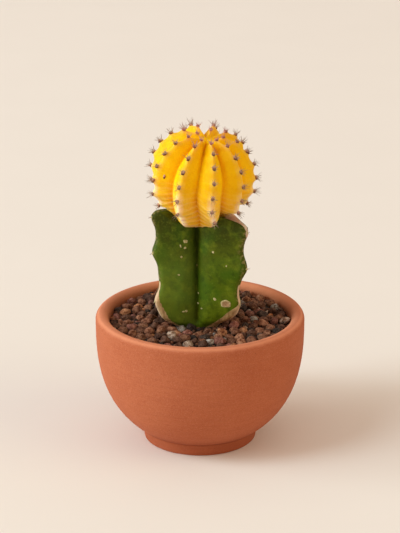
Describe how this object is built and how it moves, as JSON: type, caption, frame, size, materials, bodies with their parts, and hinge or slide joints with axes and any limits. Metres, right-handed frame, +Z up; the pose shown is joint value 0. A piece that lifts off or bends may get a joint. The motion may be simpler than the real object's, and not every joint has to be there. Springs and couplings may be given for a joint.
{
  "type": "potted moon cactus",
  "caption": "Grafted moon cactus: a yellow ribbed, spiny ball on a dark green winged stock, standing in gravel in a round terracotta bowl.",
  "frame": {"origin": "centre of the pot's foot, on the surface that it stands on", "axes": "+Z up along the pot's axis, -Y the front, which the groove between the stock's two front wings faces, +X to the right as seen from the front"},
  "size_m": [0.09, 0.09, 0.1411],
  "materials": {
    "terracotta": "matte, unglazed, with faint throwing lines",
    "potting_mix": "matte, damp and crumbly",
    "grit": "matte mixed brown, grey and cream pebbles",
    "green_stem": "satin plant skin with corky edges",
    "yellow_flesh": "satin plant skin with felt areoles and dry spines"
  },
  "bodies": {
    "root": {"pot": "terracotta", "soil": "potting_mix", "gravel": "grit", "rootstock": "green_stem", "scion": "yellow_flesh"}
  },
  "joints": []
}
